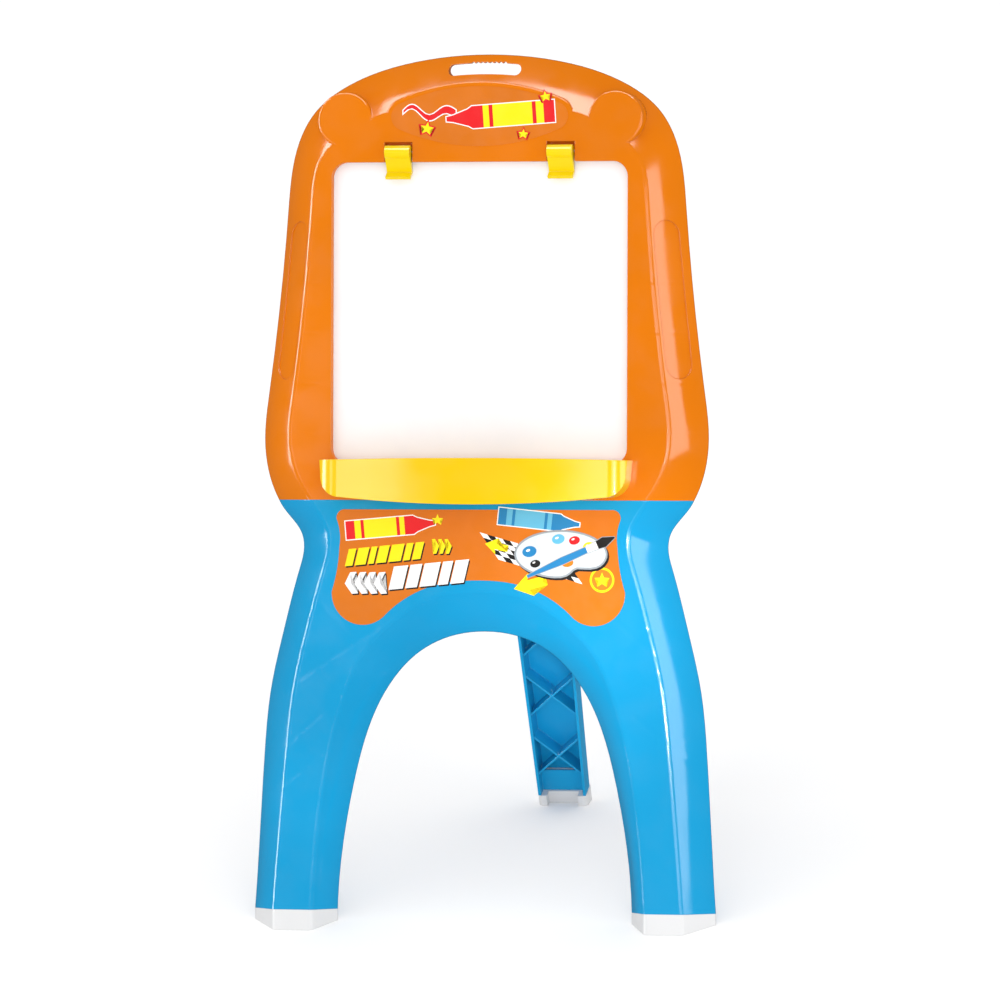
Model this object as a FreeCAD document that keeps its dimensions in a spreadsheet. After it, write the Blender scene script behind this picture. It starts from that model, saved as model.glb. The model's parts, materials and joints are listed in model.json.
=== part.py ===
import FreeCAD, Part
import math
import os
from FreeCAD import Placement, Rotation, Vector

# A free-standing children's easel: a moulded upper frame round a whiteboard, a moulded
# pair of front legs below it and one rear leg hinged behind the top bar.
#
# The front panel is drawn upright: X across, Y from the flat front face backwards, Z up
# along the panel. PANEL then leans it back about the line where the feet meet the floor.
# The rear leg is drawn hanging down from its hinge axis, and REAR swings it out.

doc = FreeCAD.newDocument("kids_easel")
dims = doc.addObject("Spreadsheet::Sheet", "dims")

DIMENSIONS = [
    ("lean", 16, "panel lean from the vertical, degrees"),
    ("rear_lean", 11.5, "rear leg lean from the vertical, degrees"),
    ("depth_centre", 255.4, "floor line of the front feet to the centre of the base"),
    ("shell_depth", 38, "front face to rear rim of the moulded shells"),
    ("wall", 3, "moulded wall"),
    ("rib", 2.2, "moulded rib"),
    ("ridge_radius", 7, "rounding between the front face and the outer wall"),
    ("seam", 499, "joint between upper frame and leg frame"),
    ("foot_top", 24, "height of the white foot caps along the leg"),
    ("window_wide", 350, "board window width"),
    ("window_low", 541, "board window bottom"),
    ("window_high", 889.5, "board window top"),
    ("window_corner", 18, "board window corner radius"),
    ("flange_deep", 10.5, "return flange round the window"),
    ("board_lap", 8, "board edge behind the flange"),
    ("face_sheet", 0.8, "whiteboard sheet thickness"),
    ("backing", 3.2, "hardboard thickness"),
    ("handle_long", 86, "carry slot length"),
    ("handle_high", 13.4, "carry slot height"),
    ("handle_level", 997.4, "carry slot centre"),
    ("handle_bow", 1.7, "rise of the middle of the carry slot over its ends"),
    ("notch_pitch", 5.4, "pitch of the grip notches in the carry slot"),
    ("pad_wide", 221, "oval pad width"),
    ("pad_high", 81, "oval pad height"),
    ("pad_tip", 22, "oval pad end radius"),
    ("pad_level", 942, "oval pad centre"),
    ("boss_radius", 32, "round corner boss radius"),
    ("boss_apart", 320, "distance between the round bosses"),
    ("boss_level", 938.5, "round boss centre"),
    ("pad_back", 31, "rear end of the walls of the pad and bosses"),
    ("boss_edge", 2.5, "edge rounding of the pad and bosses"),
    ("groove_wide", 36, "shallow side recess width"),
    ("groove_long", 184, "shallow side recess length"),
    ("groove_deep", 1.2, "shallow side recess depth"),
    ("tray_wide", 363.5, "pen tray width"),
    ("tray_low", 494, "pen tray lowest level"),
    ("tray_rim", 545, "pen tray rim level"),
    ("tray_deep", 46, "pen tray front to back"),
    ("tray_wall", 2.5, "pen tray wall"),
    ("tray_screw_level", 513, "pen tray screws"),
    ("clip_apart", 192, "distance between the paper clips"),
    ("clip_wide", 29.6, "paper clip width"),
    ("clip_low", 869.5, "lower lip of the paper clip"),
    ("slot_wide", 33, "clip slot width"),
    ("slot_high", 912.5, "clip slot top"),
    ("clip_axis", 901.5, "clip pin level"),
    ("clip_axis_deep", 8, "clip pin depth behind the front face"),
    ("clip_pin", 4, "clip pin diameter"),
    ("hinge_level", 940, "rear leg hinge level along the panel"),
    ("hinge_deep", 58, "rear leg hinge depth behind the front face"),
    ("hinge_pin", 8, "hinge pin diameter"),
    ("fit_gap", 0.06, "radial running clearance of the pins"),
    ("bracket_back", 39, "rear face of the hinge bracket plate"),
    ("bracket_plate", 5, "hinge bracket plate thickness"),
    ("leg_top_wide", 90, "rear leg width at the hinge"),
    ("leg_foot_wide", 58.5, "rear leg width at the foot"),
    ("leg_front", 16, "rear leg channel in front of the hinge axis"),
    ("leg_back", 14, "rear leg channel behind the hinge axis"),
    ("leg_wall", 3.6, "rear leg wall"),
    ("rear_foot_high", 17, "rear foot height"),
    ("screw_shank", 3.5, "self-tapping screw diameter"),
    ("screw_head", 8, "screw head diameter"),
    ("head_high", 2.6, "screw head height"),
    ("head_round", 1.1, "screw head edge rounding"),
    ("bracket_corner", 8, "hinge bracket plate corner radius"),
    ("label_thick", 0.4, "sticker thickness"),
]

for row, (alias, value, note) in enumerate(DIMENSIONS, start=1):
    dims.set("A%d" % row, note)
    dims.set("B%d" % row, str(value))
    dims.setAlias("B%d" % row, alias)
doc.recompute()


def size(alias):
    return float(dims.get(alias))


LEAN = size("lean")
REAR_LEAN = size("rear_lean")
PANEL = Placement(Vector(0, -size("depth_centre"), 0), Rotation(Vector(1, 0, 0), -LEAN))
HINGE = PANEL.multVec(Vector(0, size("hinge_deep"), size("hinge_level")))
REAR = Placement(HINGE, Rotation(Vector(1, 0, 0), REAR_LEAN))
FACE = Rotation(Vector(1, 0, 0), 90)          # sketch X, Y become panel X, Z
SIDE = Rotation(Vector(1, 1, 1), 120)         # sketch X, Y become panel Y, Z
nodes = []


# ---------------------------------------------------------------- building blocks

def bind(obj, **expressions):
    for prop, expression in expressions.items():
        obj.setExpression(prop.replace("__", "."), str(expression))
    return obj


def at(obj, x, y, z):
    return bind(obj, Placement__Base__x=x, Placement__Base__y=y, Placement__Base__z=z)


def block(name, wide, deep, high, x, y, z):
    """Box centred on x, from y backwards and from z upwards."""
    box = doc.addObject("Part::Box", name)
    bind(box, Length=wide, Width=deep, Height=high)
    return at(box, "%s - (%s) / 2" % (x, wide), y, z)


def slanted_plate(name, thick, deep, high, middle, tilt):
    """Box turned by tilt degrees about the Y axis through the middle of its front face."""
    plate = doc.addObject("Part::Box", name)
    bind(plate, Length=thick, Width=deep, Height=high)
    turn = Rotation(Vector(0, 1, 0), tilt)
    corner = turn.multVec(Vector(size("rib") / 2, 0, high / 2))
    plate.Placement = Placement(middle - corner, turn)
    return plate


def rod(name, radius, length, x, y, z, axis):
    """Cylinder that starts at x, y, z and runs along the axis."""
    cylinder = doc.addObject("Part::Cylinder", name)
    bind(cylinder, Radius=radius, Height=length)
    cylinder.Placement = Placement(Vector(), Rotation(Vector(0, 0, 1), axis))
    return at(cylinder, x, y, z)


def under_floor(name, x, z, lean):
    """Block whose top face is the floor, centred on x, 0, z and tilted by lean degrees."""
    wide = 200
    thick = 60
    below = doc.addObject("Part::Box", name)
    bind(below, Length=wide, Width=wide, Height=thick)
    tilt = Rotation(Vector(1, 0, 0), lean)
    corner = tilt.multVec(Vector(-wide / 2, -wide / 2, -thick))
    below.Placement = Placement(Vector(x, 0, z) + corner, tilt)
    return below


def sketch(name, geometry, rotation=FACE, depth="0"):
    """Flat outline; depth is where it lies along Y, or along X for a side outline."""
    flat = doc.addObject("Sketcher::SketchObject", name)
    flat.addGeometry(geometry, False)
    flat.Placement = Placement(Vector(), rotation)
    if rotation is SIDE:
        return at(flat, depth, "0", "0")
    return at(flat, "0", depth, "0")


def prism(name, outline, length, direction=Vector(0, 1, 0)):
    extrusion = doc.addObject("Part::Extrusion", name)
    extrusion.Base = outline
    extrusion.DirMode = "Custom"
    extrusion.Dir = direction
    extrusion.Solid = True
    return bind(extrusion, LengthFwd=length)


def loft(name, rear, front):
    solid = doc.addObject("Part::Loft", name)
    solid.Sections = [rear, front]
    solid.Solid = True
    solid.Ruled = True
    return solid


def fuse(name, shapes):
    union = doc.addObject("Part::MultiFuse", name)
    union.Shapes = shapes
    return union


def cut(name, base, tools):
    removal = doc.addObject("Part::Cut", name)
    removal.Base = base
    removal.Tool = tools[0] if len(tools) == 1 else fuse(name + "_tools", tools)
    return removal


def common(name, base, tool):
    overlap = doc.addObject("Part::Common", name)
    overlap.Base = base
    overlap.Tool = tool
    return overlap


def group(name, shapes):
    compound = doc.addObject("Part::Compound", name)
    compound.Links = shapes
    return compound


def fillet(name, base, radius, wanted):
    """Round the edges of base for which wanted(edge) is true."""
    doc.recompute()
    edges = []
    for number, edge in enumerate(base.Shape.Edges, start=1):
        if wanted(edge):
            edges.append((number, size(radius), size(radius)))
    rounded = doc.addObject("Part::Fillet", name)
    rounded.Base = base
    rounded.Edges = edges
    return rounded


def node(label, obj, placement=PANEL):
    """Name a finished sub-part and stand it where it belongs on the easel."""
    if any(path.startswith(("Placement", ".Placement")) for path, _ in obj.ExpressionEngine):
        obj = group(label + "_piece", [obj])      # its own place is bound to the sheet
    obj.Label = label
    obj.Placement = placement.multiply(obj.Placement)
    nodes.append(obj)
    return obj


def line(start, end):
    return Part.LineSegment(Vector(*start, 0), Vector(*end, 0))


def polygon(points):
    return [line(a, b) for a, b in zip(points, points[1:] + points[:1])]


def arc(start, middle, end):
    return Part.Arc(Vector(*start, 0), Vector(*middle, 0), Vector(*end, 0))


def rounded_box(left, right, low, high, radius):
    """Rectangle with round corners."""
    bulge = radius * (1 - math.sqrt(0.5))
    return [
        line((left + radius, low), (right - radius, low)),
        arc((right - radius, low), (right - bulge, low + bulge), (right, low + radius)),
        line((right, low + radius), (right, high - radius)),
        arc((right, high - radius), (right - bulge, high - bulge), (right - radius, high)),
        line((right - radius, high), (left + radius, high)),
        arc((left + radius, high), (left + bulge, high - bulge), (left, high - radius)),
        line((left, high - radius), (left, low + radius)),
        arc((left, low + radius), (left + bulge, low + bulge), (left + radius, low)),
    ]


def mirrored(points):
    """The same points on the other side of the centre line, in reverse order."""
    return [(-x, z) for x, z in reversed(points)]


def spline(points, pace):
    """Smooth curve through points; pace spaces them like the outline it is lofted to."""
    knots = [0.0]
    for a, b in zip(pace, pace[1:]):
        knots.append(knots[-1] + math.dist(a, b))
    curve = Part.BSplineCurve()
    curve.interpolate(Points=[Vector(x, z, 0) for x, z in points],
                      Parameters=[k / knots[-1] for k in knots])
    return curve


def inset(points, amount, level_ends):
    """Move an outline to its left by amount; its ends rise by level_ends only."""
    moved = []
    last = len(points) - 1
    for i, (x, z) in enumerate(points):
        ahead = points[min(i + 1, last)]
        behind = points[max(i - 1, 0)]
        run = math.dist(ahead, behind)
        step_x = -(ahead[1] - behind[1]) / run * amount
        step_z = (ahead[0] - behind[0]) / run * amount
        if i in (0, last):
            step_x = math.copysign(abs(amount), step_x)
            step_z = level_ends
        moved.append((x + step_x, z + step_z))
    return moved


# ---------------------------------------------------------------- outlines of the shells

SEAM = size("seam")
FOOT_TOP = size("foot_top")

# Half outlines (half width, level) of the rear rim and of the front face, station by station.
UPPER_RIM = [(246.5, SEAM), (258.5, 530), (263.5, 567), (258.5, 625), (236.5, 835),
             (226, 908), (205, 949), (167, 979), (90, 1006)]
UPPER_FACE = [(199, SEAM), (217, 530), (225, 567), (220, 625), (199, 835),
              (191, 888), (175, 909), (148, 930), (85, 951)]
RIM_CROWN = [(0, 1015)]
FACE_CROWN = [(0, 957)]
LEG_RIM = [(273.6, FOOT_TOP), (270.5, 71), (262.5, 210), (255.5, 279), (240, 349),
           (222, 418), (216.5, 442), (219, 460), (234, 481), (246.5, SEAM)]
LEG_FACE = [(242, FOOT_TOP), (238.5, 71), (226.5, 210), (218.5, 279), (203, 349),
            (184, 418), (178, 442), (178.5, 460), (188, 481), (199, SEAM)]
ARCH_RIM = [(174.5, FOOT_TOP), (171.6, 71), (157, 164), (146, 210), (130, 255),
            (107, 294), (82, 320), (45, 340)]
ARCH_FACE = [(197, FOOT_TOP), (194, 71), (184, 164), (175.5, 213), (161, 266),
             (138, 319), (107, 353), (58, 385)]
ARCH_RIM_CROWN = [(0, 347)]
ARCH_FACE_CROWN = [(0, 394)]


def dome(half, crown):
    return half + crown + mirrored(half)


def upper_outline(half, crown, amount, lift):
    points = dome(half, crown)
    pace = dome(UPPER_RIM, RIM_CROWN)
    if amount:
        points = inset(points, amount, lift)
    return [line(points[-1], points[0]), spline(points, pace)]


def leg_outline(side, arch, crown, amount, drop):
    """Seam, right leg, arch and left leg in one closed outline."""
    right = side
    inner = dome(arch, crown)
    if amount:
        right = inset(side, amount, 0)
        right[-1] = (right[-1][0], SEAM - drop)
        inner = inset(inner, -amount, 0)
    left = mirrored(right)
    return [
        spline(right, LEG_RIM),
        line(right[-1], left[0]),
        spline(left, mirrored(LEG_RIM)),
        line(left[-1], inner[-1]),
        spline(inner, dome(ARCH_RIM, ARCH_RIM_CROWN)),
        line(inner[0], right[0]),
    ]


# ---------------------------------------------------------------- upper frame

WALL = size("wall")
RIM_INSET = 1.4 * WALL      # a wall that slopes by about 45 degrees
FACE_INSET = 0.4 * WALL
CLIP_SIDES = (("left", -1), ("right", 1))


def on_front_face(edge):
    box = edge.BoundBox
    return abs(box.YMin) < 1e-3 and abs(box.YMax) < 1e-3


def oval_outline(margin):
    """Oval of four tangent arcs, drawn margin inside the edge of the pad."""
    half_wide = size("pad_wide") / 2
    half_high = size("pad_high") / 2
    tip = size("pad_tip")
    level = size("pad_level")
    flank = ((half_wide - tip) ** 2 + half_high ** 2 - tip ** 2) / (2 * (half_high - tip))
    slope = math.atan2(flank - half_high, half_wide - tip)
    x = half_wide - tip + (tip - margin) * math.cos(slope)
    z = (tip - margin) * math.sin(slope)
    end = half_wide - margin
    top = half_high - margin
    return [
        arc((x, level - z), (end, level), (x, level + z)),
        arc((x, level + z), (0, level + top), (-x, level + z)),
        arc((-x, level + z), (-end, level), (-x, level - z)),
        arc((-x, level - z), (0, level - top), (x, level - z)),
    ]


def oval(name, margin, depth, length):
    return prism(name, sketch(name + "_outline", oval_outline(margin), FACE, depth), length)


def window_prism(name, margin, depth, length, radius):
    half = size("window_wide") / 2 + margin
    outline = rounded_box(-half, half, size("window_low") - margin,
                          size("window_high") + margin, radius)
    return prism(name, sketch(name + "_outline", outline, FACE, depth), length)


def upper_shell():
    """Tapered outer solid with the oval pad and the corner bosses, hollow from behind."""
    rim = sketch("upper_rim", upper_outline(UPPER_RIM, RIM_CROWN, 0, 0), FACE,
                 "dims.shell_depth")
    face = sketch("upper_face", upper_outline(UPPER_FACE, FACE_CROWN, 0, 0))
    outer = fillet("upper_ridge", loft("upper_outer", rim, face), "ridge_radius",
                   lambda e: on_front_face(e) and e.BoundBox.ZMax > SEAM + 1)
    pad = fillet("pad_rounded", oval("pad", 0, "0", "dims.pad_back"), "boss_edge",
                 on_front_face)
    raised = [outer, pad]
    hollow_rim = sketch("upper_hollow_rim",
                        upper_outline(UPPER_RIM, RIM_CROWN, RIM_INSET, WALL), FACE,
                        "dims.shell_depth")
    hollow_face = sketch("upper_hollow_face",
                         upper_outline(UPPER_FACE, FACE_CROWN, FACE_INSET, WALL), FACE,
                         "dims.wall")
    hollows = [loft("upper_hollow", hollow_rim, hollow_face),
               oval("pad_hollow", WALL, "dims.wall", "dims.shell_depth - dims.wall")]
    for side, sign in CLIP_SIDES:
        middle = "%d * dims.boss_apart / 2" % sign
        boss = rod("boss_" + side, "dims.boss_radius", "dims.pad_back",
                   middle, "0", "dims.boss_level", Vector(0, 1, 0))
        raised.append(fillet("boss_rounded_" + side, boss, "boss_edge", on_front_face))
        hollows.append(rod("boss_hollow_" + side, "dims.boss_radius - dims.wall",
                           "dims.shell_depth - dims.wall", middle, "dims.wall",
                           "dims.boss_level", Vector(0, 1, 0)))
    return fuse("upper_solid", raised), fuse("upper_cavity", hollows)


RAIL_MIDDLE = 224            # middle of each side rail, from the centre line
RAIL_RIB_WIDE = 80
RAIL_RIB_LEVELS = [575, 633, 691, 749, 807, 865]
CROWN_RIBS = (-120, 120)
CROWN_RIB_LOW = 918
CROWN_RIB_HIGH = 80


def upper_ribs():
    """Cross ribs in the side rails and uprights in the top bar."""
    plates = []
    for level in RAIL_RIB_LEVELS:
        for side, sign in CLIP_SIDES:
            plates.append(block("rail_rib_%s_%d" % (side, level), RAIL_RIB_WIDE,
                                "dims.shell_depth - 10", "dims.rib", sign * RAIL_MIDDLE,
                                "dims.wall / 2", level))
    for x in CROWN_RIBS:
        plates.append(block("crown_rib", "dims.rib", "dims.shell_depth - 8", CROWN_RIB_HIGH, x,
                            "dims.wall / 2", CROWN_RIB_LOW))
    return fuse("upper_rib_plates", plates)


BOARD_SCREWS = [(sign * 189, z) for z in (590, 715, 840) for sign in (-1, 1)]
BRACKET_SCREWS = [(x, z) for z in (918, 962) for x in (-63, 63)]
SEAM_SCREWS = [-214, -110, 110, 214]
SEAM_SCREW_DEEP = 25
BOARD_BACK = size("flange_deep") + size("face_sheet") + size("backing")
PLATE_FRONT = size("bracket_back") - size("bracket_plate")
TRAY_SCREWS = [-120, 0, 120]
SHANK_GAP = 0.1
CLIP_POCKET_BACK = 15.4      # front of the wall that closes the pocket behind each clip


def upper_bosses():
    """Screw bosses, window flange, handle sleeve and clip ears, and the bores in them."""
    solids = []
    bores = []
    back = Vector(0, 1, 0)
    for x, z in BOARD_SCREWS:
        solids.append(rod("board_boss", 4, BOARD_BACK - WALL / 2, x, "dims.wall / 2", z, back))
        bores.append(rod("board_bore", (size("screw_shank") + SHANK_GAP) / 2, BOARD_BACK, x,
                         "dims.wall", z, back))
    for x, z in BRACKET_SCREWS:
        solids.append(rod("bracket_boss", 5.5, PLATE_FRONT - WALL / 2, x, "dims.wall / 2",
                          z, back))
        bores.append(rod("bracket_bore", (size("screw_shank") + SHANK_GAP) / 2, PLATE_FRONT,
                         x, 14, z, back))
    up = Vector(0, 0, 1)
    for x in SEAM_SCREWS:
        solids.append(rod("seam_boss", 4.5, 20, x, SEAM_SCREW_DEEP, SEAM + WALL / 2, up))
        bores.append(rod("seam_bore", (size("screw_shank") + SHANK_GAP) / 2, 20, x,
                         SEAM_SCREW_DEEP, SEAM - 1, up))
    for side, sign in CLIP_SIDES:
        for inner in (-1, 1):
            x = sign * size("clip_apart") / 2 + inner * (size("slot_wide") / 2 + 2)
            solids.append(block("clip_ear_" + side, 4, 14, 14, x, "dims.wall / 2",
                                "dims.clip_axis - 4.5"))
        solids.append(block("clip_pocket_" + side, "dims.slot_wide + 8", 2, 19,
                            "%d * dims.clip_apart / 2" % sign, CLIP_POCKET_BACK,
                            "dims.clip_axis - 4.5"))
        bores.append(rod("clip_bore_" + side, "dims.clip_pin / 2", 45,
                         "%d * dims.clip_apart / 2 - 22.5" % sign, "dims.clip_axis_deep",
                         "dims.clip_axis", Vector(1, 0, 0)))
    solids.append(window_prism("flange", WALL, "0", "dims.flange_deep",
                               size("window_corner") + WALL))
    return solids, bores


def handle_prism(name, margin, depth, length):
    """Round-ended slot that bows up gently with the top of the frame."""
    half = size("handle_long") / 2 + margin
    high = size("handle_high") / 2 + margin
    bow = size("handle_bow") / 2
    ends = size("handle_level") - bow
    middle = size("handle_level") + bow
    reach = half - high
    outline = [
        arc((-reach, ends + high), (0, middle + high), (reach, ends + high)),
        arc((reach, ends + high), (half, ends), (reach, ends - high)),
        arc((reach, ends - high), (0, middle - high), (-reach, ends - high)),
        arc((-reach, ends - high), (-half, ends), (-reach, ends + high)),
    ]
    return prism(name, sketch(name + "_outline", outline, FACE, depth), length)


GRIP_NOTCHES = 8
NOTCH_RADIUS = 2.4
NOTCH_OFFSET = 4            # the grip notches sit a little right of the middle
NOTCH_SUNK = 0.4            # their centres lie this far under the top of the slot


def upper_frame():
    outer, cavity = upper_shell()
    shell = cut("upper_walls", outer, [cavity])
    ribs = common("upper_ribs", upper_ribs(), cavity)
    sleeve = common("handle_sleeve", handle_prism("sleeve", WALL, "0", "dims.shell_depth"),
                    outer)
    bosses, bores = upper_bosses()
    inside = common("upper_bosses", fuse("upper_boss_set", bosses), outer)
    openings = [
        window_prism("window", 0, "-1", "dims.shell_depth + 2", size("window_corner")),
        handle_prism("handle_slot", 0, "-1", "dims.shell_depth + 2"),
    ]
    for side, sign in CLIP_SIDES:
        openings.append(block("clip_slot_" + side, "dims.slot_wide", CLIP_POCKET_BACK + 1,
                              "dims.slot_high - dims.window_high + 6",
                              "%d * dims.clip_apart / 2" % sign, -1,
                              "dims.window_high - 6"))
    notch_level = size("handle_level") + size("handle_high") / 2 - NOTCH_SUNK
    for i in range(GRIP_NOTCHES):
        across = (i - (GRIP_NOTCHES - 1) / 2) * size("notch_pitch") + NOTCH_OFFSET
        openings.append(rod("grip_notch_%d" % i, NOTCH_RADIUS, "dims.shell_depth + 2",
                            across, -1, notch_level, Vector(0, 1, 0)))
    for x in TRAY_SCREWS:
        openings.append(rod("tray_hole", 5.2, 8, x, -1, "dims.tray_screw_level",
                            Vector(0, 1, 0)))
    whole = fuse("upper_whole", [shell, ribs, sleeve, inside])
    return cut("upper_cut", whole, openings + bores + [side_grooves()])


GROOVE_MIDDLE = (225.5, 16, 730.3)     # across, deep, level: a point on the sloping wall
GROOVE_TILT = 5.7                      # the wall leans in by this much towards the top
WALL_SLOPE = 45
GROOVE_REACH = 12                      # the cutter passes this far through the wall


def side_grooves():
    """Shallow round-ended recess that follows each sloping outer wall."""
    across, deep, level = GROOVE_MIDDLE
    half = size("groove_wide") / 2
    end = size("groove_long") / 2
    sunk = size("groove_deep") / math.sin(math.radians(WALL_SLOPE))
    core = loft("groove_core",
                sketch("groove_rim", upper_outline(UPPER_RIM, RIM_CROWN, sunk, 0), FACE,
                       "dims.shell_depth"),
                sketch("groove_face", upper_outline(UPPER_FACE, FACE_CROWN, sunk, 0)))
    plugs = []
    for side, sign in CLIP_SIDES:
        outline = rounded_box(-half, half, -end, end, half * 0.999)
        plug = prism("groove_" + side, sketch("groove_outline_" + side, outline),
                     2 * GROOVE_REACH)
        turn = Rotation(Vector(0, 1, 0), -sign * GROOVE_TILT).multiply(
            Rotation(Vector(0, 0, 1), sign * WALL_SLOPE))
        middle = Vector(sign * across, deep, level)
        plug.Placement = Placement(middle + turn.multVec(Vector(0, -GROOVE_REACH, 0)), turn)
        plugs.append(plug)
    return cut("side_grooves", fuse("groove_plugs", plugs), [core])


# ---------------------------------------------------------------- leg frame

LEG_CROSSINGS = [(221, 62, 2), (219.5, 122, 4), (213, 182, 8), (200, 242, 15),
                 (182, 300, 24), (160, 352, 38)]      # across, level, slant of the leg
CROSS_TILT = 48              # slope of the crossed ribs from the leg's own direction
CROSS_LONG = 150
BRIDGE_RIBS = (-150, -75, 0, 75, 150)
BRIDGE_RIB_LOW = 384
BRIDGE_RIB_HIGH = 115


def crossed_ribs():
    """Pairs of crossed ribs down each leg and uprights in the bridge."""
    plates = []
    for across, level, slant in LEG_CROSSINGS:
        for side, sign in CLIP_SIDES:
            for tilt in (-CROSS_TILT, CROSS_TILT):
                plates.append(slanted_plate(
                    "cross_rib_" + side, "dims.rib", "dims.shell_depth - 8", CROSS_LONG,
                    Vector(sign * across, WALL / 2, level), tilt - sign * slant))
    for x in BRIDGE_RIBS:
        plates.append(block("bridge_rib", "dims.rib", "dims.shell_depth - 6",
                            BRIDGE_RIB_HIGH, x, "dims.wall / 2", BRIDGE_RIB_LOW))
    return fuse("leg_rib_plates", plates)


FOOT_SCREWS = [(-219, 36), (219, 36)]
FOOT_BOSS_BACK = 16
PLUG_ROOM = (110, 40, 27)    # wide, deep and high, where the ribs make way for the foot plug


def leg_frame():
    rim = sketch("leg_rim", leg_outline(LEG_RIM, ARCH_RIM, ARCH_RIM_CROWN, 0, 0), FACE,
                 "dims.shell_depth")
    face = sketch("leg_face", leg_outline(LEG_FACE, ARCH_FACE, ARCH_FACE_CROWN, 0, 0))
    outer = fillet("leg_ridge", loft("leg_outer", rim, face), "ridge_radius",
                   lambda e: on_front_face(e) and e.BoundBox.ZLength > 30)
    hollow_rim = sketch("leg_hollow_rim",
                        leg_outline(LEG_RIM, ARCH_RIM, ARCH_RIM_CROWN, RIM_INSET, WALL),
                        FACE, "dims.shell_depth")
    hollow_face = sketch("leg_hollow_face",
                         leg_outline(LEG_FACE, ARCH_FACE, ARCH_FACE_CROWN, FACE_INSET, WALL),
                         FACE, "dims.wall")
    cavity = loft("leg_hollow", hollow_rim, hollow_face)
    shell = cut("leg_walls", outer, [cavity])
    ribs = common("leg_ribs", crossed_ribs(), cavity)
    bosses = []
    seam_bores = []
    foot_bores = []
    for x in SEAM_SCREWS:
        seam_bores.append(rod("seam_through", (size("screw_shank") + 0.5) / 2, 8, x,
                              SEAM_SCREW_DEEP, SEAM - 6, Vector(0, 0, 1)))
    for x, z in FOOT_SCREWS:
        bosses.append(rod("foot_boss", 5, FOOT_BOSS_BACK - WALL / 2, x, "dims.wall / 2", z,
                          Vector(0, 1, 0)))
        foot_bores.append(rod("foot_bore", (size("screw_shank") + SHANK_GAP) / 2,
                              FOOT_BOSS_BACK, x, "dims.wall", z, Vector(0, 1, 0)))
        foot_bores.append(block("plug_room", *PLUG_ROOM, x, FOOT_BOSS_BACK,
                                "dims.foot_top - 1"))
    whole = fuse("leg_whole", [shell, ribs] + bosses)
    # the foot plug slides up where the ribs are cut back, so the walls are put back after
    cleared = cut("leg_cleared", whole, seam_bores + foot_bores)
    return fuse("leg_final", [cleared, cut("leg_walls_again", shell, seam_bores)])


# ---------------------------------------------------------------- board and tray

def board():
    """Gloss writing sheet laminated to hardboard, behind the window flange."""
    half = size("window_wide") / 2 + size("board_lap")
    outline = rounded_box(-half, half, size("window_low") - size("board_lap"),
                          size("window_high") + size("board_lap") - 1, 4)
    sheet = prism("board_sheet", sketch("sheet_outline", outline, FACE, "dims.flange_deep"),
                  "dims.face_sheet")
    back = prism("board_back", sketch("back_outline", outline, FACE,
                                      "dims.flange_deep + dims.face_sheet"), "dims.backing")
    node("whiteboard_face", sheet)
    node("board_backing", back)


def tray_solid(name, margin, rise):
    """Front outline pushed backwards, trimmed to the round-cornered plan of the tray."""
    half = size("tray_wide") / 2 - margin
    low = size("tray_low") + margin
    rim = size("tray_rim") + rise
    outline = [
        line((half, rim), (half - 1.5, low + 34)),
        arc((half - 1.5, low + 34), (half - 9, low + 15), (half - 27, low + 8)),
        arc((half - 27, low + 8), (0, low), (27 - half, low + 8)),
        arc((27 - half, low + 8), (9 - half, low + 15), (1.5 - half, low + 34)),
        line((1.5 - half, low + 34), (-half, rim)),
    ]
    crown = 2.5 if rise == 0 else 0
    if crown:
        outline.append(arc((-half, rim), (0, rim + crown), (half, rim)))
    else:
        outline.append(line((-half, rim), (half, rim)))
    deep = size("tray_deep")
    front = prism(name + "_front", sketch(name + "_outline", outline, FACE, -deep - 5),
                  deep + 5 - (margin + 1.5 if margin else 0))
    bow = 10
    corner = 22
    edge = -deep + bow + margin
    plan = [
        line((half + 5, 0), (half + 5, edge + corner)),
        arc((half + 5, edge + corner), (half - 1, edge + 6), (half - corner, edge - 1.5)),
        arc((half - corner, edge - 1.5), (0, edge - bow), (corner - half, edge - 1.5)),
        arc((corner - half, edge - 1.5), (1 - half, edge + 6), (-half - 5, edge + corner)),
        line((-half - 5, edge + corner), (-half - 5, 0)),
        line((-half - 5, 0), (half + 5, 0)),
    ]
    flat = doc.addObject("Sketcher::SketchObject", name + "_plan_outline")
    flat.addGeometry(plan, False)
    at(flat, 0, 0, "dims.tray_low - 5")
    column = prism(name + "_plan", flat, 80, Vector(0, 0, 1))
    return common(name, front, column)


def pen_tray():
    outer = tray_solid("tray_outer", 0, 0)
    inner = tray_solid("tray_inner", size("tray_wall"), 20)
    spigots = []
    bores = []
    for x in TRAY_SCREWS:
        spigots.append(rod("tray_spigot", 5, WALL + 2, x, -2, "dims.tray_screw_level",
                           Vector(0, 1, 0)))
        bores.append(rod("tray_bore", (size("screw_shank") + SHANK_GAP) / 2, WALL + 6, x, -3.8,
                         "dims.tray_screw_level", Vector(0, 1, 0)))
    cup = cut("tray_cup", outer, [inner])
    node("pen_tray", cut("tray_cut", fuse("tray_whole", [cup] + spigots), bores))


# ---------------------------------------------------------------- paper clips

PRESS_DEEP = size("flange_deep") - 0.4      # the clip presses paper against the board
SPRING_RADIUS = 3.2
SPRING_WIRE = 0.5
SPRING_TURNS = 5
SPRING_FRONT_LEG = 2.6
SPRING_BACK_LEG = 6


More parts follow.
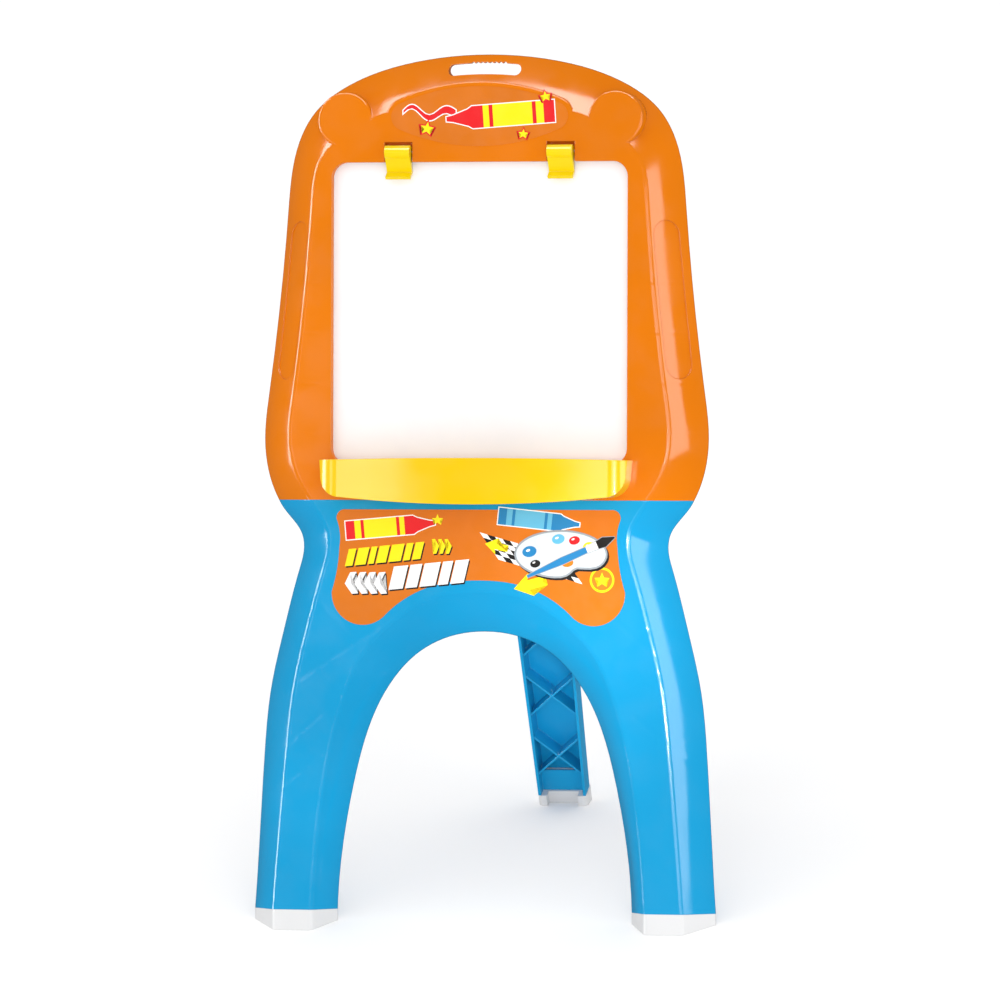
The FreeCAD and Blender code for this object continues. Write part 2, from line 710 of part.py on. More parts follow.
def paper_clip(side, sign):
    """Sprung lever: round thumb nose above, plate slanting down to a flared lip."""
    deep = size("clip_axis_deep")
    axis = size("clip_axis")
    low = size("clip_low")
    profile = [
        line((deep, axis - 5.2), (5.5, axis - 9)),
        line((5.5, axis - 9), (PRESS_DEEP, low + 8)),
        line((PRESS_DEEP, low + 8), (-0.5, low)),
        line((-0.5, low), (-3.5, low + 2.6)),
        line((-3.5, low + 2.6), (5, low + 8.5)),
        line((5, low + 8.5), (-4.5, axis - 8)),
        arc((-4.5, axis - 8), (-9.5, axis), (-3.5, axis + 7)),
        line((-3.5, axis + 7), (deep - 1, axis + 5.2)),
        arc((deep - 1, axis + 5.2), (deep + 5.2, axis), (deep, axis - 5.2)),
    ]
    middle = sign * size("clip_apart") / 2
    wide = size("clip_wide")
    body = prism("clip_body_" + side, sketch("clip_profile_" + side, profile, SIDE,
                                             middle - wide / 2), wide, Vector(1, 0, 0))
    bore = rod("clip_pivot_" + side, "dims.clip_pin / 2 + dims.fit_gap", 40,
               middle - 20, "dims.clip_axis_deep", "dims.clip_axis", Vector(1, 0, 0))
    room = rod("spring_room_" + side, SPRING_RADIUS + 1.4, 12, middle - 6,
               "dims.clip_axis_deep", "dims.clip_axis", Vector(1, 0, 0))
    exit_room = block("spring_exit_" + side, 12, 12, 12, middle, deep, axis - 10)
    node("paper_clip_" + side, cut("clip_cut_" + side, body, [bore, room, exit_room]))
    pin = rod("clip_pin_rod_" + side, "dims.clip_pin / 2", 41, middle - 20.5,
              "dims.clip_axis_deep", "dims.clip_axis", Vector(1, 0, 0))
    node("clip_pin_" + side, pin)
    clip_spring(side, middle)


def clip_spring(side, middle):
    """Torsion spring round the clip pin: one leg on the clip, one on the pocket wall."""
    pitch = 2 * SPRING_WIRE + 0.3
    high = pitch * SPRING_TURNS
    helix = Part.makeHelix(pitch, high, SPRING_RADIUS)
    start = Vector(SPRING_RADIUS, 0, 0)
    circle = Part.Wire(Part.makeCircle(SPRING_WIRE, start, Vector(0, 1, 0)))
    coil = Part.Wire(helix).makePipeShell([circle], True, True)
    front = Part.makeCylinder(SPRING_WIRE, SPRING_FRONT_LEG, start, Vector(0, -1, 0))
    back = Part.makeCylinder(SPRING_WIRE, SPRING_BACK_LEG, start + Vector(0, 0, high),
                             Vector(0, 1, 0))
    spring = doc.addObject("Part::Feature", "spring_" + side)
    spring.Shape = coil.fuse([front, back])
    spring.Placement = Placement(
        Vector(middle - high / 2, size("clip_axis_deep"), size("clip_axis")),
        Rotation(Vector(0, 0, 1), Vector(1, 0, 0)))
    node("clip_spring_" + side, spring)


# ---------------------------------------------------------------- fasteners

SCREW_BLADE = (4.4, 0.9)     # long and wide, of each arm of the cross recess
SCREW_RECESS = 1.2           # depth of the cross recess


def screw(name, length, x, y, z, direction):
    """Pan-head screw whose head underside is at x, y, z; direction is where it points."""
    shank = rod(name + "_shank", "dims.screw_shank / 2", length, x, y, z, direction)
    head = rod(name + "_head", "dims.screw_head / 2", "dims.head_high", x, y, z,
               direction * -1)
    crown = fillet(name + "_crown", head, "head_round", lambda e: tip_edge(e, x, y, z,
                                                                         direction))
    blades = []
    for turn in (0, 90):
        blade = doc.addObject("Part::Box", name + "_blade")
        bind(blade, Length=SCREW_BLADE[0], Width=SCREW_BLADE[1], Height="dims.head_high")
        frame = Rotation(Vector(0, 0, 1), direction * -1).multiply(
            Rotation(Vector(0, 0, 1), turn))
        start = Vector(x, y, z) - direction * (size("head_high") - SCREW_RECESS)
        corner = Vector(-SCREW_BLADE[0] / 2, -SCREW_BLADE[1] / 2, 0)
        blade.Placement = Placement(start + frame.multVec(corner), frame)
        blades.append(blade)
    return cut(name, fuse(name + "_solid", [shank, crown]), blades)


def tip_edge(edge, x, y, z, direction):
    middle = edge.BoundBox.Center - Vector(x, y, z)
    return abs(middle.dot(direction) + size("head_high")) < 1e-3 and \
        edge.BoundBox.DiagonalLength > size("screw_head")


def screws(label, length, places, direction, placement=PANEL):
    made = [screw(label + "_screw", length, x, y, z, direction) for x, y, z in places]
    node(label, group(label + "_group", made), placement)


def washer(name, radius, thick, x, y, z):
    disc = rod(name + "_disc", radius, thick, x, y, z, Vector(0, 1, 0))
    hole = rod(name + "_hole", size("screw_shank") / 2 + 0.2, 2 * thick, x, y - thick / 2, z,
               Vector(0, 1, 0))
    return cut(name, disc, [hole])


def fasteners():
    forward = Vector(0, -1, 0)
    washer_thick = 1.2
    screws("board_screws", 12, [(x, BOARD_BACK + washer_thick, z) for x, z in BOARD_SCREWS],
           forward)
    node("board_washers", group("board_washer_group", [
        washer("board_washer", 8, washer_thick, x, BOARD_BACK, z) for x, z in BOARD_SCREWS]))
    level = size("tray_screw_level")
    screws("tray_screws", 7, [(x, WALL + washer_thick, level) for x in TRAY_SCREWS], forward)
    node("tray_washers", group("tray_washer_group", [
        washer("tray_washer", 7.5, washer_thick, x, WALL, level) for x in TRAY_SCREWS]))
    screws("seam_screws", 18, [(x, SEAM_SCREW_DEEP, SEAM - WALL) for x in SEAM_SCREWS],
           Vector(0, 0, 1))
    screws("hinge_bracket_screws", 18,
           [(x, size("bracket_back"), z) for x, z in BRACKET_SCREWS], forward)
    screws("front_foot_screws", 20, [(x, FOOT_HEAD, z) for x, z in FOOT_SCREWS], forward)


# ---------------------------------------------------------------- front feet

FOOT_HEAD = 27               # depth of the screw head's seat
FOOT_PLAN = [(242, 0), (273.6, 38), (174.5, 38), (197, 0)]
PLUG_GAP = 0.4               # between the plug and the leg walls round it
PLUG_HIGH = 25
PLUG_BACK = 33
FOOT_STOCK = 12              # drawn below the floor and then cut off along it


def front_foot(side, sign):
    """Cap that carries on the outline of the leg, with a plug up inside the leg."""
    plan = doc.addObject("Sketcher::SketchObject", "foot_plan_" + side)
    plan.addGeometry(polygon([(sign * x, y) for x, y in FOOT_PLAN]), False)
    at(plan, 0, 0, -FOOT_STOCK)
    column = prism("foot_column_" + side, plan, "dims.foot_top + %g" % FOOT_STOCK,
                   Vector(0, 0, 1))
    cap = fillet("foot_cap_" + side, column, "ridge_radius",
                 lambda e: e.BoundBox.ZLength > 20 and e.BoundBox.YMax < 1)
    below = under_floor("floor_" + side, sign * RAIL_MIDDLE, 0, LEAN)
    plug = doc.addObject("Sketcher::SketchObject", "plug_plan_" + side)
    front = FOOT_BOSS_BACK + PLUG_GAP
    inner = [(249.9 - PLUG_GAP, front), (262 - PLUG_GAP, PLUG_BACK),
             (186 + PLUG_GAP, PLUG_BACK), (195 + PLUG_GAP, front)]
    plug.addGeometry(polygon([(sign * x, y) for x, y in inner]), False)
    at(plug, 0, 0, "dims.foot_top - 1")
    peg = prism("foot_peg_" + side, plug, PLUG_HIGH, Vector(0, 0, 1))
    x, z = FOOT_SCREWS[0] if sign < 0 else FOOT_SCREWS[1]
    hole = rod("foot_hole_" + side, size("screw_shank") / 2 + 0.25, 30, x, 10, z,
               Vector(0, 1, 0))
    seat = rod("foot_seat_" + side, size("screw_head") / 2 + 0.6, 20, x, FOOT_HEAD, z,
               Vector(0, 1, 0))
    soled = cut("foot_soled_" + side, cap, [below])
    whole = fuse("foot_whole_" + side, [soled, peg])
    node("front_foot_" + side, cut("foot_cut_" + side, whole, [hole, seat]))


# ---------------------------------------------------------------- rear leg and its hinge

LEG_RIB_PITCH = 82
LEG_RIB_FIRST = 52           # middle of the lowest crossed ribs above the leg's end
LEG_RIB_LONG = 130
PIN_ROOM = 18                # radius kept free of ribs round the hinge pin
BARREL_RADIUS = 8
BARREL_DROP = 28             # the web under the barrel reaches this far down
REAR_SCREW_UP = 12           # rear foot screw above the leg's end
PAST = 15                    # cutting bodies run this far past the sides of the leg


def rear_leg():
    """Forward-facing channel with crossed ribs and a barrel round the hinge pin."""
    hinge_height = HINGE.z
    length = hinge_height / math.cos(math.radians(REAR_LEAN)) - size("rear_foot_high")
    top = size("leg_top_wide") / 2
    foot = size("leg_foot_wide") / 2
    reach = top + PAST
    outline = polygon([(top, 16), (foot, -length), (-foot, -length), (-top, 16)])
    body = prism("leg_body", sketch("leg_body_outline", outline, FACE, "-dims.leg_front"),
                 "dims.leg_front + dims.leg_back")
    rounded = fillet("leg_body_rounded", body, "ridge_radius",
                     lambda e: e.BoundBox.ZLength > 100 and e.BoundBox.YMin > 1)
    crown = fuse("leg_crown", [
        rod("leg_crown_rod", "dims.leg_front", 2 * reach, -reach, 0, 0, Vector(1, 0, 0)),
        block("leg_crown_below", 2 * reach, 4 * PAST, length + PAST, 0, -2 * PAST,
              -length - PAST)])
    wall = size("leg_wall")
    hollow = polygon([(top - wall, 30), (foot - wall, -length - 10),
                      (wall - foot, -length - 10), (wall - top, 30)])
    channel = prism("leg_channel", sketch("leg_channel_outline", hollow, FACE, -30),
                    30 + size("leg_back") - wall)
    shaped = cut("leg_shell", common("leg_shaped", rounded, crown), [channel])
    plates = []
    count = int((length - LEG_RIB_FIRST) // LEG_RIB_PITCH)
    for i in range(count):
        middle = -length + LEG_RIB_FIRST + LEG_RIB_PITCH * i
        for tilt in (-CROSS_TILT, CROSS_TILT):
            plates.append(slanted_plate(
                "leg_cross", "dims.rib", "dims.leg_front + dims.leg_back - 5", LEG_RIB_LONG,
                Vector(0, -size("leg_front") + 4, middle), tilt))
    inside = cut("leg_inside", channel, [rod("pin_room", PIN_ROOM, 2 * reach, -reach, 0, 0,
                                             Vector(1, 0, 0))])
    ribs = common("leg_crosses", fuse("leg_cross_set", plates), inside)
    barrel = rod("leg_barrel", BARREL_RADIUS, 2 * top - 2, 1 - top, 0, 0, Vector(1, 0, 0))
    web = block("leg_barrel_web", 2 * top - 3, 3, BARREL_DROP - 4, 0, -1.5, -BARREL_DROP)
    web_back = block("leg_barrel_floor", 2 * top - 6, 12, 3, 0, 0, -BARREL_DROP)
    heel = block("leg_heel", 2 * top - 4, 5.5, 10, 0, -13, 5.5)
    bore = rod("leg_bore", "dims.hinge_pin / 2 + dims.fit_gap", 2 * reach, -reach, 0, 0,
               Vector(1, 0, 0))
    screw_way = rod("foot_screw_way", size("screw_shank") / 2 + 0.25, 20, 0, 0,
                    -length + REAR_SCREW_UP, Vector(0, 1, 0))
    apron = block("foot_pocket_wall", 2 * foot - wall, 2.2, 27, 0, -1.6, -length)
    whole = fuse("leg_all", [shaped, ribs, barrel, web, web_back, heel, apron])
    node("rear_leg", cut("leg_done", whole, [bore, screw_way]), REAR)
    rear_foot(length, foot)


def rear_foot(length, foot):
    """White cap under the channel, open in front, with a tongue up inside it."""
    front = -size("leg_front")
    back = size("leg_back")
    mouth = 19
    depth = 16
    low = -length - size("rear_foot_high") - FOOT_STOCK
    cap = block("rear_cap", 2 * foot + 2, back - front + 2, -length - low, 0, front - 1, low)
    rounded = fillet("rear_cap_rounded", cap, "ridge_radius",
                     lambda e: e.BoundBox.ZLength > 20)
    notch = block("rear_notch", 2 * mouth, depth, -length - low + 10, 0, front - 5, low - 5)
    below = under_floor("rear_floor", 0, -length - size("rear_foot_high"), -REAR_LEAN)
    wall = size("leg_wall")
    tongue = block("rear_tongue", 2 * (foot - wall) - 1.2, 9, 26, 0, back - wall - 9.2,
                   -length - 2)
    bore = rod("rear_foot_bore", (size("screw_shank") + SHANK_GAP) / 2, 14, 0,
               back - wall - 10, -length + REAR_SCREW_UP, Vector(0, 1, 0))
    whole = fuse("rear_foot_whole", [cut("rear_cap_cut", rounded, [notch, below]), tongue])
    node("rear_foot", cut("rear_foot_cut", whole, [bore]), REAR)
    screws("rear_foot_screw", 11, [(0, back, -length + REAR_SCREW_UP)], Vector(0, -1, 0), REAR)


BRACKET_WIDE = 146
BRACKET_HIGH = 62
BRACKET_LOW = 909


def hinge_bracket():
    """Plate screwed behind the top bar with two ears that hold the hinge pin."""
    level = size("hinge_level")
    deep = size("hinge_deep")
    plate = block("bracket_plate_block", BRACKET_WIDE, "dims.bracket_plate", BRACKET_HIGH, 0,
                  PLATE_FRONT, BRACKET_LOW)
    rounded = fillet("bracket_plate_rounded", plate, "bracket_corner",
                     lambda e: e.BoundBox.YLength > 1 and e.BoundBox.XLength < 0.01)
    ears = []
    gap = 0.8
    thick = 5
    for sign in (-1, 1):
        x = sign * (size("leg_top_wide") / 2 + gap + thick / 2)
        ears.append(block("bracket_ear", thick, deep - PLATE_FRONT - 2, 40, x,
                          PLATE_FRONT + 2, level - 20))
        ears.append(rod("bracket_eye", 13, thick, x - thick / 2, deep, level,
                        Vector(1, 0, 0)))
        ears.append(block("bracket_gusset", 14, 12, 4, x + sign * 7, PLATE_FRONT + 4,
                          level - 2))
    holes = [rod("bracket_pin_bore", "dims.hinge_pin / 2", 140, -70, deep, level,
                 Vector(1, 0, 0))]
    for x, z in BRACKET_SCREWS:
        holes.append(rod("bracket_hole", size("screw_shank") / 2 + 0.3, 20, x,
                         PLATE_FRONT - 5, z, Vector(0, 1, 0)))
    node("hinge_bracket", cut("bracket_cut", fuse("bracket_whole", [rounded] + ears), holes))
    reach = size("leg_top_wide") / 2 + gap + thick
    pin = rod("hinge_rod", "dims.hinge_pin / 2", 2 * reach + 8, -reach - 4, deep, level,
              Vector(1, 0, 0))
    node("hinge_pin", pin)
    caps = []
    for sign in (-1, 1):
        start = reach if sign > 0 else -reach - 6
        socket = rod("cap_socket", "dims.hinge_pin / 2", 4, reach if sign > 0 else -reach - 4,
                     deep, level, Vector(1, 0, 0))
        dome_edge = rod("cap_disc", 7.5, 6, start, deep, level, Vector(1, 0, 0))
        rounded_cap = fillet("cap_rounded", dome_edge, "boss_edge",
                             lambda e, s=sign: abs(e.BoundBox.XMin - s * (reach + 6)) < 1e-3
                             and e.BoundBox.DiagonalLength > 10)
        caps.append(cut("hinge_cap", rounded_cap, [socket]))
    node("hinge_pin_caps", group("hinge_cap_group", caps))


# ---------------------------------------------------------------- stickers

BRIDGE_ARCH = [(112, 364), (88, 384), (50, 401), (0, 406.5), (-50, 401), (-88, 384),
               (-112, 364)]


def labels():
    inside = 6
    badge = prism("badge", sketch("badge_outline", oval_outline(inside), FACE,
                                  "-dims.label_thick"), "dims.label_thick")
    node("badge_label", badge)
    half = [(0, 488), (157, 488), (168, 477), (164.5, 445), (173.5, 393)]
    outline = [
        line((-half[1][0], half[1][1]), half[1]),
        arc(half[1], (165.5, 485), half[2]),
        arc(half[2], (164, 461), half[3]),
        arc(half[3], (167, 420), half[4]),
        arc(half[4], (139, 354.5), (112, 364)),
        spline(BRIDGE_ARCH, BRIDGE_ARCH),
        arc((-112, 364), (-139, 354.5), (-half[4][0], half[4][1])),
        arc((-half[4][0], half[4][1]), (-167, 420), (-half[3][0], half[3][1])),
        arc((-half[3][0], half[3][1]), (-164, 461), (-half[2][0], half[2][1])),
        arc((-half[2][0], half[2][1]), (-165.5, 485), (-half[1][0], half[1][1])),
    ]
    bridge = prism("bridge", sketch("bridge_outline", outline, FACE, "-dims.label_thick"),
                   "dims.label_thick")
    node("bridge_label", bridge)


# ---------------------------------------------------------------- the easel

node("upper_frame", upper_frame())
node("leg_frame", leg_frame())
board()
pen_tray()
for side_name, side_sign in CLIP_SIDES:
    paper_clip(side_name, side_sign)
    front_foot(side_name, side_sign)
hinge_bracket()
rear_leg()
fasteners()
labels()
doc.recompute()

for obj in doc.Objects:
    if "Invalid" in obj.State or "Error" in obj.State:
        raise RuntimeError("%s is %s" % (obj.Name, obj.State))

os.makedirs("parts", exist_ok=True)
for obj in nodes:
    shape = obj.Shape
    if shape.isNull() or not shape.isValid() or not shape.Solids:
        raise RuntimeError("%s has no valid solid" % obj.Label)
    shape.exportStep("parts/%s.step" % obj.Label)
    print("%-22s %d solids %8.1f cm3" % (obj.Label, len(shape.Solids), shape.Volume / 1000))
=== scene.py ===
import json
import math

import bmesh
import bpy
from mathutils import Matrix, Vector


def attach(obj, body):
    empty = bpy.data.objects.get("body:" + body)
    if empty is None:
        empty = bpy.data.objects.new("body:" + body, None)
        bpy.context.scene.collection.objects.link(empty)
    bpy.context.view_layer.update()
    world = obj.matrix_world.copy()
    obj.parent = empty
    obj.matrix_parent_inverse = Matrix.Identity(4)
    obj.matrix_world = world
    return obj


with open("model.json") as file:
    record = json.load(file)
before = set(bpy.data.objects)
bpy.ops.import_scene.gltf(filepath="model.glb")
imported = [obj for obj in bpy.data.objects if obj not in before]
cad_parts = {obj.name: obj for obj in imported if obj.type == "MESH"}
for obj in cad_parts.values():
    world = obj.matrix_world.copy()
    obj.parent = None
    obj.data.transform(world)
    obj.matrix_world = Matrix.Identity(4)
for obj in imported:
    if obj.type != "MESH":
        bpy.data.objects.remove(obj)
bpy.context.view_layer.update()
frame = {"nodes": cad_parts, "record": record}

MM = 0.001
LEAN = math.radians(16)              # the front panel leans back by this much
FEET_FRONT = -0.2554                 # floor line of the panel, in front of the origin
PANEL = Matrix.Translation((0, FEET_FRONT, 0)) @ Matrix.Rotation(-LEAN, 4, "X")
SHELL_DEPTH = 0.038                  # front face to rear rim
WALL_SWELL = 0.003                   # crown of the sloping walls
LABEL_FRONT = -0.4                   # front of both labels, in panel millimetres


# ------------------------------------------------------------------ shader helpers

class Nodes:
    """A material with its node tree, and short ways to add nodes to it."""

    def __init__(self, name):
        self.material = bpy.data.materials.new(name)
        self.material.use_nodes = True
        self.tree = self.material.node_tree
        self.shader = self.tree.nodes["Principled BSDF"]
        self.coords = self.tree.nodes.new("ShaderNodeTexCoord").outputs["Object"]

    def link(self, value, socket):
        if isinstance(value, bpy.types.NodeSocket):
            self.tree.links.new(value, socket)
        else:
            socket.default_value = value

    def node(self, kind, settings, inputs, output=0):
        node = self.tree.nodes.new(kind)
        for key, value in settings.items():
            setattr(node, key, value)
        for key, value in inputs.items():
            self.link(value, node.inputs[key])
        return node.outputs[output]

    def math(self, operation, a, b=0.0, c=0.0):
        return self.node("ShaderNodeMath", {"operation": operation}, {0: a, 1: b, 2: c})

    def vector(self, operation, a, b=(0, 0, 0), output=0):
        return self.node("ShaderNodeVectorMath", {"operation": operation}, {0: a, 1: b}, output)

    def noise(self, scale, detail=3.0, rough=0.5):
        return self.node("ShaderNodeTexNoise", {}, {"Vector": self.coords, "Scale": scale,
                                                    "Detail": detail, "Roughness": rough})

    def remap(self, value, low, high, to_low=0.0, to_high=1.0):
        return self.node("ShaderNodeMapRange", {"interpolation_type": "SMOOTHSTEP"},
                         {"Value": value, "From Min": low, "From Max": high,
                          "To Min": to_low, "To Max": to_high})

    def mix(self, factor, a, b):
        node = self.tree.nodes.new("ShaderNodeMix")
        node.data_type = "RGBA"
        for value, index in ((factor, 0), (a, 6), (b, 7)):
            self.link(value, node.inputs[index])
        return node.outputs[2]

    def bump(self, height, distance, below=None):
        inputs = {"Height": height, "Distance": distance, "Strength": 1.0}
        if below is not None:
            inputs["Normal"] = below
        return self.node("ShaderNodeBump", {}, inputs)

    def edge_normal(self, radius):
        """Moulded edges are never sharp: this rounds how they shade."""
        return self.node("ShaderNodeBevel", {"samples": 4}, {"Radius": radius})

    def set(self, **values):
        for key, value in values.items():
            self.shader.inputs[key.replace("_", " ")].default_value = value


def shade(colour, factor):
    return tuple(min(1.0, c * factor) for c in colour[:3]) + (1.0,)


def panel_coords(n):
    """Across and up the leaning panel, in metres, as one vector."""
    start = n.vector("SUBTRACT", n.coords, (0, FEET_FRONT, 0))
    up = n.vector("DOT_PRODUCT", start, (0, math.sin(LEAN), math.cos(LEAN)), "Value")
    across = n.vector("DOT_PRODUCT", start, (1, 0, 0), "Value")
    return n.node("ShaderNodeCombineXYZ", {}, {0: across, 1: up, 2: 0.0}), across, up


def wall_crown(n, below):
    """The sloping walls swell gently between the ridge and the rear rim."""
    start = n.vector("SUBTRACT", n.coords, (0, FEET_FRONT, 0))
    deep = n.vector("DOT_PRODUCT", start, (0, math.cos(LEAN), -math.sin(LEAN)), "Value")
    part = n.node("ShaderNodeClamp", {}, {"Value": n.math("DIVIDE", deep, SHELL_DEPTH)})
    swell = n.math("MULTIPLY", n.math("MULTIPLY", part, 4.0), n.math("SUBTRACT", 1.0, part))
    return n.bump(swell, WALL_SWELL, below)


def sink_lines(n, place, lines, width):
    """1 on soft lines where a rib behind the wall drew the plastic in, 0 elsewhere."""
    total = 0.0
    for start, end in lines:
        a = Vector((start[0] * MM, start[1] * MM, 0))
        run = Vector((end[0] * MM, end[1] * MM, 0)) - a
        offset = n.vector("SUBTRACT", place, a)
        along = n.vector("DOT_PRODUCT", offset, run / run.length_squared, "Value")
        held = n.node("ShaderNodeClamp", {}, {"Value": along})
        foot = n.node("ShaderNodeVectorMath", {"operation": "SCALE"}, {0: run, "Scale": held})
        gap = n.node("ShaderNodeVectorMath", {"operation": "DISTANCE"}, {0: offset, 1: foot},
                     "Value")
        total = n.math("MAXIMUM", total, n.remap(gap, 0.0, width, 1.0, 0.0))
    return total


def rail_lines(n, across, up, first, pitch, low, high):
    """Level sink lines behind which the cross ribs of the side rails stand."""
    phase = n.math("WRAP", n.math("SUBTRACT", up, first), pitch / 2, -pitch / 2)
    line = n.remap(n.math("ABSOLUTE", phase), 0.0, 0.004, 1.0, 0.0)
    side = n.remap(n.math("ABSOLUTE", across), 0.182, 0.2, 0.0, 1.0)
    above = n.math("GREATER_THAN", up, low)
    below = n.math("LESS_THAN", up, high)
    return n.math("MULTIPLY", n.math("MULTIPLY", line, side), n.math("MULTIPLY", above, below))


# ------------------------------------------------------------------ materials

FLOW_SCALE = 26.0            # spacing of the flow marks in moulded plastic
BEND_SCALE = 13.0            # spacing of the slow waves in moulded walls


def plastic(name, colour, rough, edge=0.0012, grain=0.000008, sink=None):
    """Moulded plastic: colour drift, flow marks, fine texture, scuffs and worn edges."""
    n = Nodes(name)
    drift = n.remap(n.noise(5.0, 2.0), 0.35, 0.65)
    tint = n.mix(drift, shade(colour, 0.955), shade(colour, 1.03))
    scuffs = n.remap(n.noise(150.0, 6.0, 0.72), 0.63, 0.76)
    rounded = n.edge_normal(edge)
    square = n.node("ShaderNodeNewGeometry", {}, {}, "Normal")
    wear = n.remap(n.vector("DOT_PRODUCT", rounded, square, "Value"), 0.8, 0.97, 1.0, 0.0)
    pale = tuple(c + (0.9 - c) * 0.2 for c in colour) + (1.0,)
    marks = n.math("MAXIMUM", n.math("MULTIPLY", scuffs, 0.07), n.math("MULTIPLY", wear, 0.2))
    n.link(n.mix(marks, tint, pale), n.shader.inputs["Base Color"])
    swirl = n.remap(n.noise(FLOW_SCALE, 3.0), 0.35, 0.65, -0.03, 0.04)
    n.link(n.math("ADD", n.math("ADD", swirl, rough), n.math("MULTIPLY", marks, 0.5)),
           n.shader.inputs["Roughness"])
    wave = n.bump(n.noise(BEND_SCALE, 1.0), 0.0005, rounded)
    if sink is not None:
        wave = n.bump(n.math("SUBTRACT", 1.0, sink(n)), 0.00012, wall_crown(n, wave))
    n.link(n.bump(n.noise(1400.0, 2.0), grain, wave), n.shader.inputs["Normal"])
    n.set(IOR=1.49)
    return n.material


LEG_SINKS = [((-190, 380), (-147, 336)), ((-121, 350), (-212, 292)),
             ((-208, 324), (-153, 303)), ((-190, 303), (-162, 274)),
             ((-240, 250), (-186, 205)), ((-188, 250), (-244, 200)),
             ((-214, 183), (-236, 166)), ((-226, 78), (-244, 62)),
             ((228, 215), (256, 237)), ((186, 250), (250, 196)),
             ((150, 372), (212, 318)), ((160, 318), (205, 352))]


def leg_sink(n):
    place, _, _ = panel_coords(n)
    return sink_lines(n, place, LEG_SINKS, 0.006)


FIRST_RAIL_RIB = 0.5761
RAIL_RIB_PITCH = 0.058


def rail_sink(n):
    _, across, up = panel_coords(n)
    return rail_lines(n, across, up, FIRST_RAIL_RIB, RAIL_RIB_PITCH, 0.56, 0.80)


def steel(name, colour, rough):
    """Zinc-plated steel with a mottled bloom and small pits."""
    n = Nodes(name)
    mottle = n.remap(n.noise(260.0, 4.0, 0.6), 0.35, 0.65)
    n.link(n.mix(mottle, shade(colour, 0.8), shade(colour, 1.08)),
           n.shader.inputs["Base Color"])
    n.link(n.remap(n.noise(700.0, 4.0), 0.3, 0.7, rough - 0.07, rough + 0.12),
           n.shader.inputs["Roughness"])
    n.link(n.bump(n.noise(2600.0, 3.0), 0.00001, n.edge_normal(0.0003)),
           n.shader.inputs["Normal"])
    n.set(Metallic=0.6)
    return n.material


def whiteboard():
    """Gloss white writing film with faint wiped pen haze and a slight waviness."""
    n = Nodes("white_board")
    haze = n.remap(n.noise(9.0, 5.0, 0.6), 0.42, 0.72)
    n.link(n.mix(haze, (0.93, 0.93, 0.945, 1), (0.9, 0.905, 0.93, 1)),
           n.shader.inputs["Base Color"])
    n.link(n.remap(n.noise(40.0, 5.0, 0.65), 0.35, 0.7, 0.16, 0.27),
           n.shader.inputs["Roughness"])
    n.link(n.bump(n.noise(1800.0, 2.0), 0.000004, n.bump(n.noise(9.0, 1.0), 0.0003)),
           n.shader.inputs["Normal"])
    return n.material


def fibreboard():
    """Pressed wood fibre: brown speckle, matt, with the screen side's fine weave."""
    n = Nodes("hardboard")
    fibre = n.remap(n.noise(420.0, 8.0, 0.75), 0.3, 0.7)
    n.link(n.mix(fibre, (0.10, 0.052, 0.022, 1), (0.27, 0.155, 0.075, 1)),
           n.shader.inputs["Base Color"])
    n.link(n.remap(fibre, 0.0, 1.0, 0.66, 0.88), n.shader.inputs["Roughness"])
    weave = n.node("ShaderNodeTexWave", {"bands_direction": "DIAGONAL"},
                   {"Vector": n.coords, "Scale": 240.0, "Distortion": 1.5}, "Fac")
    n.link(n.bump(weave, 0.00008, n.bump(fibre, 0.00006)), n.shader.inputs["Normal"])
    return n.material


INK_ROUGH = 0.32


def ink(name, colour):
    """Printed film: fine dot grain in the ink under a satin varnish."""
    n = Nodes(name)
    dots = n.node("ShaderNodeTexVoronoi", {}, {"Vector": n.coords, "Scale": 1500.0}, "Distance")
    grain = n.remap(dots, 0.1, 0.7, 0.0, 1.0)
    drift = n.mix(n.remap(n.noise(14.0, 3.0), 0.35, 0.65), shade(colour, 0.97),
                  shade(colour, 1.03))
    n.link(n.mix(n.math("MULTIPLY", grain, 0.08), drift, shade(colour, 0.85)),
           n.shader.inputs["Base Color"])
    n.link(n.remap(n.noise(60.0, 4.0), 0.35, 0.65, INK_ROUGH - 0.04,
                   INK_ROUGH + 0.05),
           n.shader.inputs["Roughness"])
    n.link(n.bump(n.noise(1100.0, 2.0), 0.000006, n.bump(n.noise(18.0, 1.0), 0.0003)),
           n.shader.inputs["Normal"])
    n.set(Specular_IOR_Level=0.25)
    return n.material


ORANGE = (0.735, 0.182, 0.0)
BLUE = (0.008, 0.322, 0.62)
materials = {
    "orange_plastic": plastic("orange_plastic", ORANGE, 0.13, sink=rail_sink),
    "blue_plastic": plastic("blue_plastic", BLUE, 0.13, sink=leg_sink),
    "tray_yellow": plastic("tray_yellow", (0.88, 0.555, 0.0), 0.14, edge=0.0011),
    "clip_yellow": plastic("clip_yellow", (0.90, 0.66, 0.0), 0.2, edge=0.0009),
    "white_plastic": plastic("white_plastic", (0.73, 0.73, 0.735), 0.42, grain=0.00003),
    "white_board": whiteboard(),
    "hardboard": fibreboard(),
    "zinc_steel": steel("zinc_steel", (0.68, 0.68, 0.7), 0.3),
    "spring_steel": steel("spring_steel", (0.45, 0.45, 0.47), 0.26),
    "label_print": ink("label_print", (0.675, 0.166, 0.001)),
}
INKS = {
    "white": (0.93, 0.93, 0.93), "black": (0.012, 0.011, 0.01), "red": (0.78, 0.008, 0.012),
    "yellow": (1.0, 0.80, 0.0), "gold": (1.0, 0.56, 0.0), "grey": (0.32, 0.35, 0.38),
    "pale": (0.66, 0.72, 0.76), "blue": (0.015, 0.22, 0.50), "sky": (0.12, 0.47, 0.72),
    "orange": (0.89, 0.21, 0.005),
}
